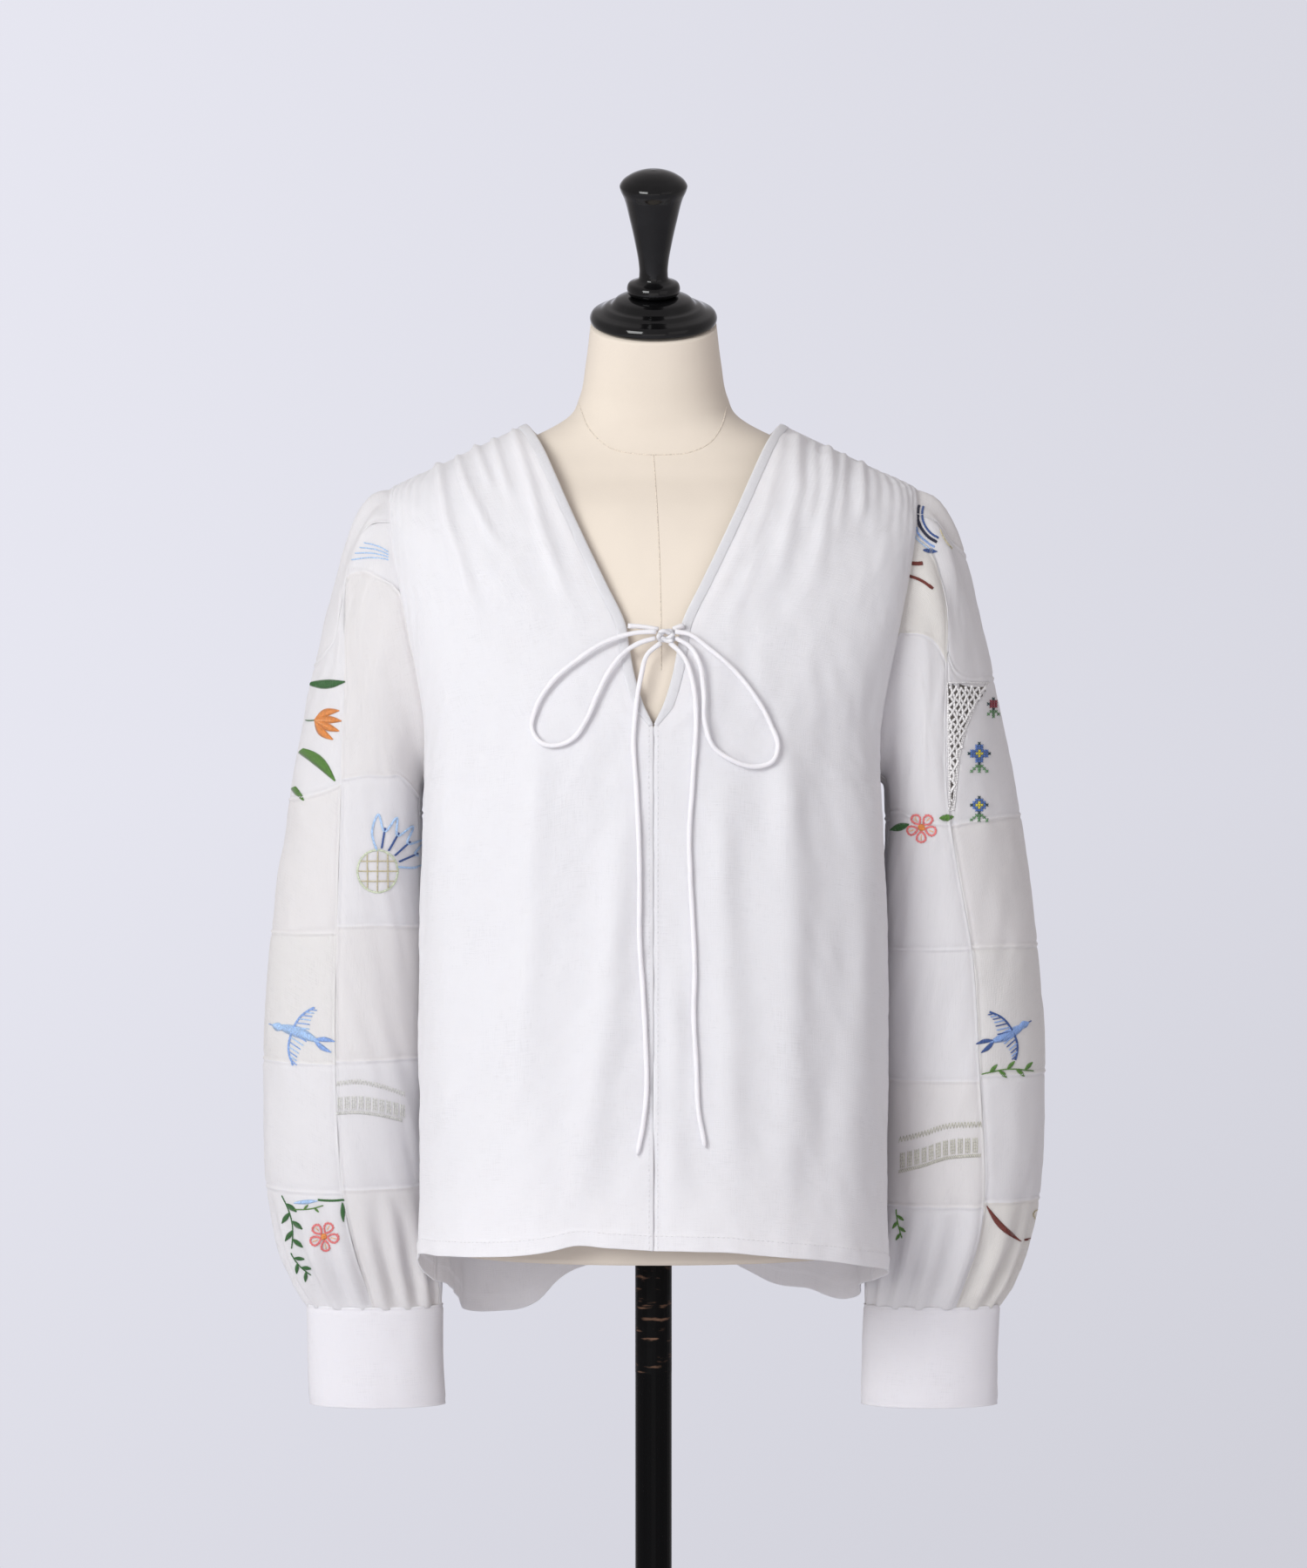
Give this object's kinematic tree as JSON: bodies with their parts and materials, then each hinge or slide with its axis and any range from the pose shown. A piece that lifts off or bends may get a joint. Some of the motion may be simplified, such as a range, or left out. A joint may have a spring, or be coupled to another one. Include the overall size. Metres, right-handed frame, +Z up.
{
  "type": "embroidered blouse on a limbless dress form",
  "caption": "long-sleeved linen blouse with a tied V neck and embroidered patchwork bishop sleeves, worn on a limbless dress form on a pole",
  "frame": {"origin": "on the floor, at the centre of the underside of the round base, on the pole's axis", "axes": "+Z up along the pole, -Y the way the front of the blouse faces, +X towards the wearer's left sleeve"},
  "size_m": [0.5451, 0.35, 1.5165],
  "materials": {
    "linen": "plain woven white linen with a fine slub",
    "patchwork": "white and cream linen squares with coloured embroidery",
    "form_cover": "cream cotton drawn tight over the form",
    "lacquer": "turned wood in gloss black lacquer",
    "stand_paint": "black paint, worn and scratched near the collar of the pole"
  },
  "bodies": {
    "root": {"front_left": "linen", "front_right": "linen", "back": "linen", "neck_binding_left": "linen", "neck_binding_right": "linen", "neck_binding_back": "linen", "sleeve_left_front_outer": "patchwork", "sleeve_left_back_outer": "patchwork", "sleeve_left_back_inner": "patchwork", "sleeve_left_front_inner": "patchwork", "sleeve_right_front_outer": "patchwork", "sleeve_right_back_outer": "patchwork", "sleeve_right_back_inner": "patchwork", "sleeve_right_front_inner": "patchwork", "cuff_left": "linen", "cuff_right": "linen", "tie_knot": "linen", "tie_root_left": "linen", "tie_root_right": "linen", "tie_loop_left": "linen", "tie_loop_right": "linen", "tie_end_left": "linen", "tie_end_right": "linen", "form_torso": "form_cover", "neck_cap": "lacquer", "finial": "lacquer", "pole": "stand_paint", "base_plate": "stand_paint"}
  },
  "joints": []
}
